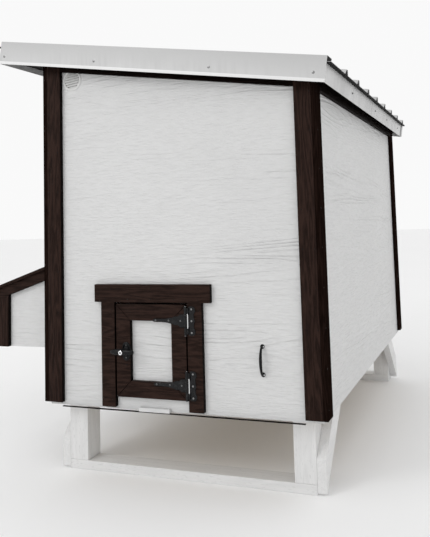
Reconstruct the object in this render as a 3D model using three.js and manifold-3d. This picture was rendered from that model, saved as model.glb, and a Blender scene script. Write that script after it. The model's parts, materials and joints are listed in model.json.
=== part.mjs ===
// Raised wooden chicken coop with a lean-to roof, for a floor of 4 ft by 6 ft.
// Units are millimetres; sizes of timber are given in inches, as they are sold.
// While the coop is drawn, x = 0 is the middle of its width, with the low eave at +x and the
// nest box at -x; y = 0 is the face of the front corner boards, and +y runs towards the back.
// The finished group is then moved so that its origin is the centre of the base of its box.

import * as THREE from 'three';
import { mergeVertices } from 'three/addons/utils/BufferGeometryUtils.js';
import Module from 'manifold-3d';

const wasm = await Module();
wasm.setup();

const inch = 25.4;
const gap = 0.3;

// ---- Driving dimensions -------------------------------------------------------------------

const timber = { thin: 1.5 * inch, wide: 3.5 * inch, narrow: 2.5 * inch };
const trimBoard = { thick: 0.75 * inch, width: 2.75 * inch, bottom: 11.7 * inch };
const siding = { thick: 0.5 * inch, width: 48 * inch, bottom: 11.2 * inch };
const depth = 73.5 * inch;
const halfWidth = siding.width / 2;
const sidingFront = trimBoard.thick;
const sidingBack = depth - trimBoard.thick;
const roomFront = sidingFront + siding.thick;
const roomBack = sidingBack - siding.thick;
const roomHalfWidth = halfWidth - siding.thick;

const leg = { outer: 21.85 * inch, setBack: 2.86 * inch, top: 11.3 * inch, braceNose: 5.25 * inch };
const deck = { thick: 0.5 * inch, top: 13.34 * inch };

const roof = {
  slope: Math.atan(0.158),
  midHeight: 65.04 * inch,
  lowEnd: 27.06 * inch,
  highEnd: -33.01 * inch,
  front: -2 * inch,
  back: 75.5 * inch,
  frameBottom: 1.0 * inch,
  face: 4.0 * inch,
  sheet: 1,
  panelOverhang: 0.7 * inch,
  ribPitch: 9 * inch,
  firstRib: -1 * inch,
  ribHeight: 0.8 * inch,
};
roof.deckBottom = roof.frameBottom + timber.thin;
roof.deckTop = roof.deckBottom + deck.thick;

const vent = { x: -19.25 * inch, z: 66.35 * inch, radius: 1.9 * inch, hole: 1.5 * inch, slats: 7 };
const cleat = { x: -3.84 * inch, width: 5.5 * inch, height: 0.6 * inch };
const roost = { y: 52 * inch, z: 30 * inch };

const popDoor = {
  hingeX: 2.25 * inch,
  width: 12.7 * inch,
  height: 14.8 * inch,
  bottom: 13.3 * inch,
  latchX: 10.9 * inch,
  camLength: 3.1 * inch,
  hingeHeights: { upper: 4.93 * inch, lower: -5.05 * inch },
};
const accessDoor = {
  hingeY: 66.25 * inch,
  width: 22 * inch,
  height: 42 * inch,
  bottom: 16 * inch,
  latchX: 20.8 * inch,
  camLength: 2.6 * inch,
  hingeHeights: { lower: 15 * inch, upper: -15 * inch },
};
const doorClearance = 0.2 * inch;
const doorBoard = 2.6 * inch;
const hinge = { axisOut: 0.25 * inch, barrel: 0.22 * inch, pin: 2.4, height: 4.55 * inch, leaf: 0.1 * inch };
const latch = {
  out: 1.6 * inch,
  bar: { length: 3.86 * inch, middle: 11, tip: 6.5 },
  shaft: 5,
  shaftClearance: 0.6,
  plate: { halfWidth: 0.75 * inch, halfHeight: 1.45 * inch, thick: 3 },
  boss: { front: 13, back: 9.5 },
  lock: { radius: 9.2, length: 10 },
  cam: { halfWidth: 8, thick: 3.5, wallClearance: 1.5 },
};
const surround = {
  jamb: 2.55 * inch,
  jambBottom: 11.6 * inch,
  jambGap: 0.15 * inch,
  header: 2.86 * inch,
  headerGap: 0.3 * inch,
  headerFrom: -14.65 * inch,
  headerTo: 6.45 * inch,
};
const bowHandle = {
  x: 14.65 * inch,
  top: 21.95 * inch,
  bottom: 17.75 * inch,
  out: 1.3 * inch,
  wire: 4.6,
  foot: { radius: 9, thick: 3.5 },
};

const nest = {
  front: 4.1 * inch,
  back: 38.6 * inch,
  outer: -38 * inch,
  bottom: 19.7 * inch,
  lidAtWall: 35.05 * inch,
  lidSlope: Math.atan(0.33),
  lidThick: 0.5 * inch,
  lidFrom: -24.5 * inch,
  lidTo: -39.2 * inch,
  lidOverhang: 0.5 * inch,
  trimWidth: 2.5 * inch,
  edgeBoard: 1.83 * inch,
  divider: 9 * inch,
  lip: 3.5 * inch,
  compartments: 3,
};

// ---- Finishes -----------------------------------------------------------------------------

const finishes = {
  siding: { color: 0xd2d1cd, roughness: 0.62, metalness: 0 },
  legs: { color: 0xcbcac7, roughness: 0.6, metalness: 0 },
  trim: { color: 0x2c221f, roughness: 0.55, metalness: 0 },
  timber: { color: 0xb9976b, roughness: 0.75, metalness: 0 },
  roofMetal: { color: 0xd6d6d4, roughness: 0.35, metalness: 0.1 },
  hardware: { color: 0x17171a, roughness: 0.4, metalness: 0.5 },
  vent: { color: 0xd8d8d6, roughness: 0.45, metalness: 0 },
};

const coop = new THREE.Group();
const tiltedRoof = new THREE.Group();
tiltedRoof.position.z = roof.midHeight;
tiltedRoof.rotation.y = roof.slope;
coop.add(tiltedRoof);

function addPart(name, geometry, finish, parent = coop) {
  const mesh = new THREE.Mesh(geometry, new THREE.MeshStandardMaterial(finishes[finish]));
  mesh.name = name;
  parent.add(mesh);
  return mesh;
}

// ---- Solids -------------------------------------------------------------------------------

function box(x0, x1, y0, y1, z0, z1) {
  const geometry = new THREE.BoxGeometry(x1 - x0, y1 - y0, z1 - z0);
  return geometry.translate((x0 + x1) / 2, (y0 + y1) / 2, (z0 + z1) / 2);
}

function outline(points) {
  return new THREE.Shape(points.map(([a, b]) => new THREE.Vector2(a, b)));
}

function extrude(shape, length, segments = 12) {
  return new THREE.ExtrudeGeometry(shape, { depth: length, bevelEnabled: false, curveSegments: segments });
}

// A shape drawn in x and z, running from y0 to y1.
function alongY(shape, y0, y1) {
  return extrude(shape, y1 - y0).rotateX(Math.PI / 2).translate(0, y1, 0);
}

// A shape drawn in y and z, running from x0 to x1.
function alongX(shape, x0, x1) {
  const turn = new THREE.Matrix4().makeBasis(
    new THREE.Vector3(0, 1, 0), new THREE.Vector3(0, 0, 1), new THREE.Vector3(1, 0, 0));
  return extrude(shape, x1 - x0).applyMatrix4(turn).translate(x0, 0, 0);
}

function cylinderAlongY(radius, x, z, y0, y1, sides = 20) {
  return new THREE.CylinderGeometry(radius, radius, y1 - y0, sides).translate(x, (y0 + y1) / 2, z);
}

function toSolid(geometry) {
  const bare = geometry.clone();
  bare.deleteAttribute('normal');
  bare.deleteAttribute('uv');
  const merged = mergeVertices(bare, 1e-4);
  return new wasm.Manifold(new wasm.Mesh({
    numProp: 3,
    vertProperties: new Float32Array(merged.attributes.position.array),
    triVerts: new Uint32Array(merged.index.array),
  }));
}

function toGeometry(solid) {
  const mesh = solid.getMesh();
  const geometry = new THREE.BufferGeometry();
  geometry.setAttribute('position', new THREE.BufferAttribute(new Float32Array(mesh.vertProperties), 3));
  geometry.setIndex(new THREE.BufferAttribute(new Uint32Array(mesh.triVerts), 1));
  return geometry;
}

function join(geometries, cuts = []) {
  let solid = toSolid(geometries[0]);
  for (const piece of geometries.slice(1)) solid = solid.add(toSolid(piece));
  for (const piece of cuts) solid = solid.subtract(toSolid(piece));
  return toGeometry(solid);
}

function mirrorDepth(y) {
  return depth - y;
}

// Height of the roof frame's underside above the ground, at x.
function roofUnderside(x) {
  return roof.midHeight - x * Math.tan(roof.slope) + roof.frameBottom / Math.cos(roof.slope);
}

// ---- Base: two U frames of skid and posts, each post stayed by a slanting brace -------------

const ends = [
  { name: 'front', place: (y) => y },
  { name: 'rear', place: mirrorDepth },
];
const sides = [
  { name: 'low', sign: 1 },
  { name: 'tall', sign: -1 },
];

function boxBetween(x0, x1, y0, y1, z0, z1) {
  return box(Math.min(x0, x1), Math.max(x0, x1), Math.min(y0, y1), Math.max(y0, y1), z0, z1);
}

function brace(end, sign) {
  const nose = leg.setBack;
  const reach = (leg.top - leg.braceNose);
  const drop = timber.wide * Math.SQRT2;
  const points = [
    [nose, leg.braceNose - drop],
    [nose, leg.braceNose],
    [nose + reach, leg.top],
    [nose + reach + drop, leg.top],
  ];
  const shape = outline(points.map(([y, z]) => [end.place(y), z]));
  const inner = leg.outer + gap;
  const [x0, x1] = sign > 0 ? [inner, inner + timber.thin] : [-inner - timber.thin, -inner];
  return alongX(shape, x0, x1);
}

for (const end of ends) {
  const y0 = end.place(leg.setBack);
  const y1 = end.place(leg.setBack + timber.wide);
  addPart(`skid_${end.name}`, boxBetween(-leg.outer, leg.outer, y0, y1, 0, timber.thin), 'legs');
  for (const side of sides) {
    const outer = side.sign * leg.outer;
    const inner = side.sign * (leg.outer - timber.wide);
    const post = boxBetween(outer, inner, y0, y1, timber.thin + gap, leg.top);
    addPart(`post_${end.name}_${side.name}`, post, 'legs');
    addPart(`brace_${end.name}_${side.name}`, brace(end, side.sign), 'legs');
  }
}

// ---- Floor: flat-laid joists under a plywood deck -------------------------------------------

const joistTop = deck.top - deck.thick - gap;
const joistBottom = leg.top + gap;
const floorEdge = roomHalfWidth - gap;

function joist(y) {
  return box(-floorEdge, floorEdge, y, y + timber.wide, joistBottom, joistTop);
}

function floorRim(x) {
  return box(x, x + timber.wide, roomFront + gap, roomBack - gap, joistBottom, joistTop);
}

const joistSteps = 3;
const joistRun = roomBack - roomFront - 2 * gap - timber.wide;
const joists = Array.from({ length: joistSteps + 1 },
  (_, i) => joist(roomFront + gap + (joistRun * i) / joistSteps));
addPart('floor_frame', join([floorRim(-floorEdge), floorRim(floorEdge - timber.wide), ...joists]), 'timber');
const floorDeck = box(-floorEdge, floorEdge, roomFront + gap, roomBack - gap, joistTop + gap, deck.top);
addPart('floor_deck', floorDeck, 'timber');

// ---- Walls: embossed siding panels with the openings cut through them ------------------------

const popOpening = {
  x0: popDoor.hingeX - popDoor.width - 2 * doorClearance,
  x1: popDoor.hingeX,
  z0: popDoor.bottom - doorClearance,
  z1: popDoor.bottom + popDoor.height + doorClearance,
};
function endWallShape() {
  return outline([
    [-halfWidth, siding.bottom],
    [halfWidth, siding.bottom],
    [halfWidth, roofUnderside(halfWidth) - gap],
    [-halfWidth, roofUnderside(-halfWidth) - gap],
  ]);
}

function ventHole(y0, y1) {
  return cylinderAlongY(vent.hole + 1, vent.x, vent.z, y0, y1, 32);
}

function frontWall() {
  const panel = alongY(endWallShape(), sidingFront, roomFront);
  const popHole = box(popOpening.x0, popOpening.x1, 0, roomFront + 10, popOpening.z0, popOpening.z1);
  const rampCleat = box(cleat.x - cleat.width / 2, cleat.x + cleat.width / 2, 0, sidingFront + 1,
    siding.bottom, siding.bottom + cleat.height);
  return join([panel, rampCleat], [popHole, ventHole(0, roomFront + 10)]);
}

addPart('wall_front', frontWall(), 'siding');
const backWall = join([alongY(endWallShape(), roomBack, sidingBack)], [ventHole(roomBack - 10, depth)]);
addPart('wall_back', backWall, 'siding');

const lowWallTop = roofUnderside(halfWidth) - gap;
const tallWallTop = roofUnderside(-roomHalfWidth) - gap;
const nestOpening = { y0: 4.75 * inch, y1: 37.95 * inch, z0: 20.25 * inch, z1: 33 * inch };
const accessOpening = {
  y0: accessDoor.hingeY - accessDoor.width - 2 * doorClearance,
  y1: accessDoor.hingeY,
  z0: accessDoor.bottom - doorClearance,
  z1: accessDoor.bottom + accessDoor.height + doorClearance,
};

function sideWallOpening(opening) {
  return box(-halfWidth - 10, -roomHalfWidth + 10, opening.y0, opening.y1, opening.z0, opening.z1);
}

const lowWall = box(roomHalfWidth, halfWidth, roomFront + gap, roomBack - gap, siding.bottom, lowWallTop);
const tallWall = box(-halfWidth, -roomHalfWidth, roomFront + gap, roomBack - gap, siding.bottom, tallWallTop);
addPart('wall_low_side', lowWall, 'siding');
const tallSideHoles = [sideWallOpening(nestOpening), sideWallOpening(accessOpening)];
addPart('wall_tall_side', join([tallWall], tallSideHoles), 'siding');

// Studs inside the four corners, standing on the deck and reaching up to the roof frame.
for (const end of ends) {
  for (const side of sides) {
    const x0 = side.sign * (roomHalfWidth - gap);
    const x1 = side.sign * (roomHalfWidth - gap - timber.thin);
    const y0 = end.place(roomFront + gap);
    const y1 = end.place(roomFront + gap + timber.narrow);
    const top = roofUnderside(Math.max(x0, x1)) - gap;
    addPart(`stud_${end.name}_${side.name}`, boxBetween(x0, x1, y0, y1, deck.top + gap, top), 'timber');
  }
}

// A roost across the room, held between the long walls.
const roostBar = box(-roomHalfWidth + gap, roomHalfWidth - gap, roost.y, roost.y + timber.thin,
  roost.z, roost.z + timber.thin);
addPart('roost_bar', roostBar, 'timber');

// ---- Corner boards: a front board butted against a side board, nailed into an L -------------

function cornerBoards(end, sign) {
  const outer = halfWidth + trimBoard.thick;
  const inner = halfWidth - trimBoard.width;
  const top = roofUnderside(Math.max(sign * outer, sign * inner)) - gap;
  const face = boxBetween(sign * inner, sign * outer,
    end.place(0), end.place(trimBoard.thick - gap), trimBoard.bottom, top);
  const side = boxBetween(sign * (halfWidth + gap), sign * outer,
    end.place(0), end.place(trimBoard.width), trimBoard.bottom, top);
  return join([face, side]);
}

for (const end of ends) {
  for (const side of sides) {
    addPart(`corner_trim_${end.name}_${side.name}`, cornerBoards(end, side.sign), 'trim');
  }
}

// ---- Roof, drawn level and tilted as a group: x runs down the slope, z away from it ---------

const frameEdge = 3;

function roofFrame() {
  const x0 = roof.highEnd + frameEdge;
  const x1 = roof.lowEnd - frameEdge;
  const y0 = roof.front + frameEdge;
  const y1 = roof.back - frameEdge;
  const z0 = roof.frameBottom;
  const z1 = roof.deckBottom - gap;
  const wallPlate = -halfWidth - timber.thin;
  const acrossRoof = [y0, (y0 + y1 - timber.wide) / 3, ((y0 + y1 - timber.wide) * 2) / 3, y1 - timber.wide];
  const rafters = acrossRoof.map((y) => box(x0, x1, y, y + timber.wide, z0, z1));
  const purlins = [x0, wallPlate, x1 - timber.wide].map((x) => box(x, x + timber.wide, y0, y1, z0, z1));
  return join([...rafters, ...purlins]);
}

addPart('roof_frame', roofFrame(), 'trim', tiltedRoof);
const roofDeck = box(roof.highEnd + frameEdge, roof.lowEnd - frameEdge, roof.front + frameEdge,
  roof.back - frameEdge, roof.deckBottom, roof.deckTop);
addPart('roof_deck', roofDeck, 'timber', tiltedRoof);

// The ribbed sheet is one folded line with a thickness, run down the slope.
function ribbedSheet() {
  const base = roof.deckTop + 2 * roof.sheet + 2 * gap;
  const foot = 1 * inch;
  const crown = 0.4 * inch;
  const top = [[roof.front + 2 * gap + 2 * roof.sheet, base]];
  for (let y = roof.firstRib + roof.ribPitch; y < roof.back - foot; y += roof.ribPitch) {
    top.push([y - foot, base], [y - crown, base + roof.ribHeight]);
    top.push([y + crown, base + roof.ribHeight], [y + foot, base]);
  }
  top.push([roof.back - 2 * gap - 2 * roof.sheet, base]);
  const under = top.map(([y, z]) => [y, z - roof.sheet]).reverse();
  const [x0, x1] = [roof.highEnd - roof.panelOverhang, roof.lowEnd + roof.panelOverhang];
  return alongX(outline([...top, ...under]), x0, x1);
}

addPart('roof_panel', ribbedSheet(), 'roofMetal', tiltedRoof);

// Rake trim: a tall face with a hem kicked out along its foot and a flange over the ribs.
const hem = { height: 0.4 * inch, out: 1.6 };
const rakeFlange = 2.6 * inch;

function rakeTrim(end) {
  const face = roof.front;
  const points = [
    [face, 0],
    [face, hem.height],
    [face + hem.out, hem.height + 2],
    [face + hem.out, roof.face],
    [face + rakeFlange, roof.face],
    [face + rakeFlange, roof.face - roof.sheet],
    [face + hem.out + roof.sheet, roof.face - roof.sheet],
    [face + hem.out + roof.sheet, hem.height],
    [face + hem.out + roof.sheet, 0],
  ];
  return alongX(outline(points.map(([y, z]) => [end.place(y), z])), roof.highEnd, roof.lowEnd);
}

for (const end of ends) addPart(`rake_trim_${end.name}`, rakeTrim(end), 'roofMetal', tiltedRoof);

// Eave trim: a face on the ends of the rafters, with a flange between the deck and the sheet.
function eaveFace(end, y0, y1, out) {
  const sign = Math.sign(end);
  const flangeIn = 1.5 * inch;
  const inner = end - sign * (frameEdge - gap);
  const outer = inner + sign * roof.sheet;
  const flange = roof.deckTop + gap;
  const shape = outline([
    [inner + sign * out, 0],
    [outer + sign * out, 0],
    [outer + sign * out, flange + roof.sheet],
    [inner - sign * flangeIn, flange + roof.sheet],
    [inner - sign * flangeIn, flange],
    [inner + sign * out, flange],
  ]);
  return alongY(shape, y0, y1);
}

const trimEnd = hem.out + roof.sheet + gap;
const lapJoint = 34.2 * inch;
const lap = 1.5 * inch;
const nearEave = eaveFace(roof.lowEnd, roof.front + trimEnd, lapJoint + lap, 0);
const farEave = eaveFace(roof.lowEnd, lapJoint, roof.back - trimEnd, roof.sheet);
addPart('eave_trim_low', join([nearEave, farEave]), 'roofMetal', tiltedRoof);
const highEave = eaveFace(roof.highEnd, roof.front + trimEnd, roof.back - trimEnd, 0);
addPart('eave_trim_high', highEave, 'roofMetal', tiltedRoof);

// ---- Louvred vents, one high in each end wall -----------------------------------------------

function ventGrille() {
  const flange = 4;
  const rim = new THREE.Shape();
  rim.absarc(0, 0, vent.radius, 0, Math.PI * 2);
  const hole = new THREE.Path();
  hole.absarc(0, 0, vent.hole - 2.5, 0, Math.PI * 2, true);
  rim.holes.push(hole);
  const collar = new THREE.Shape();
  collar.absarc(0, 0, vent.hole - gap, 0, Math.PI * 2);
  collar.holes.push(hole);
  const rings = [
    alongY(rim, sidingFront - gap - flange, sidingFront - gap),
    alongY(collar, sidingFront - gap - flange, roomFront),
  ];
  const pitch = (2 * vent.hole) / (vent.slats + 1);
  const louvres = [];
  for (let i = 1; i <= vent.slats; i += 1) {
    const z = -vent.hole + i * pitch;
    const half = Math.sqrt(vent.hole ** 2 - (Math.abs(z) + 4) ** 2);
    const slat = new THREE.BoxGeometry(2 * half, 9, 1.2).rotateX(Math.PI / 5);
    louvres.push(slat.translate(0, sidingFront + 2, z));
  }
  return join([...rings, ...louvres]).translate(vent.x, 0, vent.z);
}

addPart('vent_front', ventGrille(), 'vent');
const backVent = ventGrille().rotateZ(Math.PI).translate(2 * vent.x, depth, 0);
addPart('vent_back', backVent, 'vent');

// ---- Doors: a mitred frame on a panel, T hinges and a locking T handle ----------------------
// Each door is drawn round its own hinge axis: the door runs to -x, its front faces -y, and
// z = 0 is half way up. The axis stands a little in front of the boards.

const faceY = hinge.axisOut;
const hingeSideGap = 0.1 * inch;

function rectangle(x0, x1, z0, z1) {
  return outline([[x0, z0], [x1, z0], [x1, z1], [x0, z1]]);
}

function mitreGrooves(x0, x1, halfHeight) {
  const grooves = [];
  const reach = doorBoard * Math.SQRT2 - 3;
  for (const [x, sx] of [[x0, 1], [x1, -1]]) {
    for (const sz of [1, -1]) {
      const groove = new THREE.BoxGeometry(reach, 3, 0.8).rotateY((sx * sz * Math.PI) / 4);
      grooves.push(groove.translate(x + (sx * doorBoard) / 2, faceY, sz * (halfHeight - doorBoard / 2)));
    }
  }
  return grooves;
}

function shaftHole(door) {
  const radius = latch.shaft + latch.shaftClearance;
  const back = faceY + trimBoard.thick + siding.thick;
  return cylinderAlongY(radius, -door.latchX, 0, faceY - 5, back + 5);
}

function doorFrame(door) {
  const x0 = -door.width - hingeSideGap;
  const x1 = -hingeSideGap;
  const half = door.height / 2;
  const shape = rectangle(x0, x1, -half, half);
  shape.holes.push(rectangle(x0 + doorBoard, x1 - doorBoard, -half + doorBoard, half - doorBoard));
  const boards = alongY(shape, faceY, faceY + trimBoard.thick - gap);
  return join([boards], [shaftHole(door), ...mitreGrooves(x0, x1, half)]);
}

function doorPanel(door) {
  const x0 = -door.width - hingeSideGap + 1;
  const x1 = -hingeSideGap - 1;
  const half = door.height / 2 - 1;
  const panel = box(x0, x1, faceY + trimBoard.thick, faceY + trimBoard.thick + siding.thick, -half, half);
  return join([panel], [shaftHole(door)]);
}

// Half of the strap's outline above its centre line, from the barrel to its tip.
const strapHalf = [[0.25, 1.0], [1.1, 0.98], [1.25, 0.85], [1.5, 0.68], [2.15, 0.64], [2.4, 0.5],
  [3.0, 0.42], [3.4, 0.33], [4.4, 0.24], [5.3, 0.27], [5.75, 0.2], [5.95, 0]];

function strapShape() {
  const upper = strapHalf.map(([x, z]) => [-x * inch, z * inch]);
  const lower = strapHalf.slice(0, -1).reverse().map(([x, z]) => [-x * inch, -z * inch]);
  return outline([...upper, ...lower]);
}

const knuckle = { strap: 1.9 * inch, clearance: 0.8, bore: 3.2 };

function barrel(z0, z1, boreRadius) {
  const ring = new THREE.Shape();
  ring.absarc(0, 0, hinge.barrel, 0, Math.PI * 2);
  if (boreRadius > 0) {
    const bore = new THREE.Path();
    bore.absarc(0, 0, boreRadius, 0, Math.PI * 2, true);
    ring.holes.push(bore);
  }
  return extrude(ring, z1 - z0, 8).translate(0, 0, z0);
}

function hingeStrap() {
  const plate = alongY(strapShape(), faceY - gap - hinge.leaf, faceY - gap);
  const neck = box(-0.3 * inch, -knuckle.bore - 0.4, 0.5, faceY - gap, -knuckle.strap / 2, knuckle.strap / 2);
  return join([plate, neck, barrel(-knuckle.strap / 2, knuckle.strap / 2, knuckle.bore)]);
}

// The fixed leaf carries the pin and the knuckles at its two ends.
function hingeLeaf() {
  const half = hinge.height / 2;
  const inner = 0.3 * inch;
  const outer = 1.7 * inch;
  const shape = outline([
    [inner, -half * 0.86], [inner + 0.25 * inch, -half],
    [outer - 0.35 * inch, -half], [outer, -half * 0.8],
    [outer, -half * 0.5], [outer - 0.2 * inch, -half * 0.3],
    [outer - 0.2 * inch, half * 0.3], [outer, half * 0.5],
    [outer, half * 0.8], [outer - 0.35 * inch, half],
    [inner + 0.25 * inch, half], [inner, half * 0.86],
  ]);
  const plate = alongY(shape, faceY - gap - hinge.leaf, faceY - gap);
  const pieces = [plate, barrel(-half, half, 0).scale(hinge.pin / hinge.barrel, hinge.pin / hinge.barrel, 1)];
  const start = knuckle.strap / 2 + knuckle.clearance;
  for (const [z0, z1] of [[-half, -start], [start, half]]) {
    pieces.push(barrel(z0, z1, 0));
    pieces.push(box(0, inner + 1, 0.5, faceY - gap, Math.max(z0, -half * 0.86), Math.min(z1, half * 0.86)));
  }
  return join(pieces);
}

function latchPlate(x) {
  const shape = new THREE.Shape();
  shape.absellipse(0, 0, latch.plate.halfWidth, latch.plate.halfHeight, 0, Math.PI * 2);
  const hole = new THREE.Path();
  hole.absarc(0, 0, latch.shaft + latch.shaftClearance, 0, Math.PI * 2, true);
  shape.holes.push(hole);
  return alongY(shape, faceY - gap - latch.plate.thick, faceY - gap).translate(-x, 0, 0);
}

// T handle: a bar fullest at its middle on a round boss, its shaft through the door and the cam
// on the shaft's inner end, which hangs down until the handle is turned.
function latchHandle(door) {
  const { middle, tip } = latch.bar;
  const half = latch.bar.length / 2;
  const blunt = tip * 0.75;
  const barProfile = [[0, -half], [blunt, -half + 1], [tip, -half + tip], [middle, -middle],
    [middle, middle], [tip, half - tip], [blunt, half - 1], [0, half]];
  const bar = new THREE.LatheGeometry(barProfile.map(([r, l]) => new THREE.Vector2(r, l)), 14)
    .rotateZ(Math.PI / 2).translate(0, faceY - latch.out, 0);
  const plateFront = faceY - 2 * gap - latch.plate.thick;
  const bossLength = latch.out - latch.plate.thick - 2 * gap;
  const boss = new THREE.CylinderGeometry(latch.boss.front, latch.boss.back, bossLength, 20)
    .translate(0, plateFront - bossLength / 2, 0);
  const lockBack = faceY - latch.out;
  const lock = cylinderAlongY(latch.lock.radius, 0, 0, lockBack - latch.lock.length, lockBack);
  const camFront = faceY + trimBoard.thick + siding.thick + latch.cam.wallClearance;
  const camBack = camFront + latch.cam.thick;
  const shaft = cylinderAlongY(latch.shaft, 0, 0, plateFront - 1, camBack + 2);
  const cam = box(-latch.cam.halfWidth, latch.cam.halfWidth, camFront, camBack, -door.camLength,
    latch.cam.halfWidth);
  return join([bar, boss, lock, shaft, cam]).translate(-door.latchX, 0, 0);
}

function addDoor(prefix, door, group) {
  addPart(`${prefix}_door_frame`, doorFrame(door), 'trim', group);
  addPart(`${prefix}_door_panel`, doorPanel(door), 'siding', group);
  addPart(`${prefix}_latch_plate`, latchPlate(door.latchX), 'hardware', group);
  addPart(`${prefix}_latch_handle`, latchHandle(door), 'hardware', group);
  for (const [place, z] of Object.entries(door.hingeHeights)) {
    addPart(`${prefix}_hinge_leaf_${place}`, hingeLeaf(), 'hardware', group).position.z = z;
    addPart(`${prefix}_hinge_strap_${place}`, hingeStrap(), 'hardware', group).position.z = z;
  }
}

const popGroup = new THREE.Group();
popGroup.position.set(popDoor.hingeX, -hinge.axisOut, popDoor.bottom + popDoor.height / 2);
coop.add(popGroup);
addDoor('pop', popDoor, popGroup);

// The access door is the same drawing turned over, so that it hangs from its rear edge.
const accessGroup = new THREE.Group();
const accessAxis = new THREE.Matrix4().makeBasis(
  new THREE.Vector3(0, 1, 0), new THREE.Vector3(1, 0, 0), new THREE.Vector3(0, 0, -1));
accessGroup.quaternion.setFromRotationMatrix(accessAxis);
accessGroup.position.set(-halfWidth - trimBoard.thick - hinge.axisOut, accessDoor.hingeY,
  accessDoor.bottom + accessDoor.height / 2);
coop.add(accessGroup);
addDoor('access', accessDoor, accessGroup);

// ---- Boards round the doors ------------------------------------------------------------------

const headerBottom = popDoor.bottom + popDoor.height + surround.headerGap;
const popJambs = [
  { name: 'latch', x0: popOpening.x0 - surround.jamb },
  { name: 'hinge', x0: popOpening.x1 + surround.jambGap },
];
for (const { name, x0 } of popJambs) {
  const board = box(x0, x0 + surround.jamb, 0, sidingFront - gap, surround.jambBottom, headerBottom - gap);
  addPart(`pop_jamb_${name}`, board, 'trim');
}
const headerBoard = box(surround.headerFrom, surround.headerTo, 0, sidingFront - gap, headerBottom,
  headerBottom + surround.header);
addPart('pop_header', headerBoard, 'trim');

function accessSurround() {
  const bottom = accessOpening.z0 - 0.5 * inch;
  const head = accessOpening.z1 + 0.1 * inch;
  const rear = accessOpening.y1 + surround.jambGap;
  const front = accessOpening.y0;
  const top = head + surround.header;
  const shape = outline([
    [front - surround.jamb, bottom], [front, bottom], [front, head],
    [rear, head], [rear, bottom], [rear + surround.jamb, bottom],
    [rear + surround.jamb, top], [front - surround.jamb, top],
  ]);
  return alongX(shape, -halfWidth - trimBoard.thick, -halfWidth - gap);
}

addPart('access_surround', accessSurround(), 'trim');

// ---- Bow handle on the front wall, beside the pop door ---------------------------------------

function pullHandle() {
  const { x, top, bottom, out, wire, foot } = bowHandle;
  const wall = sidingFront - gap;
  const route = new THREE.CatmullRomCurve3([
    new THREE.Vector3(x, wall - 1, top),
    new THREE.Vector3(x, wall - out * 0.62, top - 5),
    new THREE.Vector3(x, wall - out, top - 0.25 * (top - bottom)),
    new THREE.Vector3(x, wall - out * 1.05, (top + bottom) / 2),
    new THREE.Vector3(x, wall - out, bottom + 0.25 * (top - bottom)),
    new THREE.Vector3(x, wall - out * 0.62, bottom + 5),
    new THREE.Vector3(x, wall - 1, bottom),
  ]);
  const section = new THREE.Shape();
  section.absarc(0, 0, wire, 0, Math.PI * 2);
  const bow = new THREE.ExtrudeGeometry(section, { steps: 26, extrudePath: route, curveSegments: 5 });
  const feet = [top, bottom].map((z) => cylinderAlongY(foot.radius, x, z, wall - foot.thick, wall));
  return join([bow, ...feet]);
}

addPart('pull_handle', pullHandle(), 'hardware');

// ---- Nest box hung on the tall wall, open to the room, under a sloping lid -------------------

const lidTop = (x) => nest.lidAtWall + (x + halfWidth) * Math.tan(nest.lidSlope);
const lidDrop = nest.lidThick / Math.cos(nest.lidSlope);
const boxTop = (x) => lidTop(x) - lidDrop - gap;
const nestWall = -halfWidth - gap;

function nestShell() {
  const profile = outline([
    [nest.outer, nest.bottom], [nestWall, nest.bottom],
    [nestWall, boxTop(nestWall)], [nest.outer, boxTop(nest.outer)],
  ]);
  const whole = alongY(profile, nest.front, nest.back);
  const hollow = box(nest.outer + siding.thick, nestWall + 5,
    nest.front + siding.thick, nest.back - siding.thick,
    nest.bottom + siding.thick, nest.lidAtWall + 10);
  return join([whole], [hollow]);
}

// Dividers standing on the floor of the box, tied together by the lip that keeps bedding in.
function nestDividers() {
  const floor = nest.bottom + siding.thick + gap;
  const x0 = nest.outer + siding.thick + gap;
  const inside = nest.back - nest.front - 2 * siding.thick;
  const lip = box(nestWall - siding.thick, nestWall, nest.front + siding.thick + gap,
    nest.back - siding.thick - gap, floor, floor + nest.lip);
  const pieces = [lip];
  for (let i = 1; i < nest.compartments; i += 1) {
    const y = nest.front + siding.thick + (inside * i) / nest.compartments;
    pieces.push(box(x0, nestWall, y - siding.thick / 2, y + siding.thick / 2, floor, floor + nest.divider));
  }
  return join(pieces);
}

// End trim: a board under the lid's slope and another down the outer corner.
function nestEndTrim(y0, y1) {
  const inner = nest.outer + nest.trimWidth;
  const board = (x) => boxTop(x) - nest.edgeBoard;
  const shape = outline([
    [nest.outer, nest.bottom], [inner, nest.bottom], [inner, board(inner)], [nestWall, board(nestWall)],
    [nestWall, boxTop(nestWall)], [nest.outer, boxTop(nest.outer)],
  ]);
  return alongY(shape, y0, y1);
}

addPart('nest_box', nestShell(), 'siding');
addPart('nest_dividers', nestDividers(), 'timber');
const trimFront = nest.front - trimBoard.thick;
const trimBack = nest.back + trimBoard.thick;
addPart('nest_trim_front', nestEndTrim(trimFront, nest.front - gap), 'trim');
addPart('nest_trim_rear', nestEndTrim(nest.back + gap, trimBack), 'trim');

const lidShape = outline([
  [nest.lidFrom, lidTop(nest.lidFrom) - lidDrop], [nest.lidFrom, lidTop(nest.lidFrom)],
  [nest.lidTo, lidTop(nest.lidTo)], [nest.lidTo, lidTop(nest.lidTo) - lidDrop],
].reverse());
addPart('nest_lid', alongY(lidShape, trimFront - nest.lidOverhang, trimBack + nest.lidOverhang), 'trim');

// ---- Origin: the centre of the base ------------------------------------------------------------

coop.updateMatrixWorld(true);
const bounds = new THREE.Box3().setFromObject(coop);
coop.position.set(-(bounds.min.x + bounds.max.x) / 2, -(bounds.min.y + bounds.max.y) / 2, -bounds.min.z);

export default coop;
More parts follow.
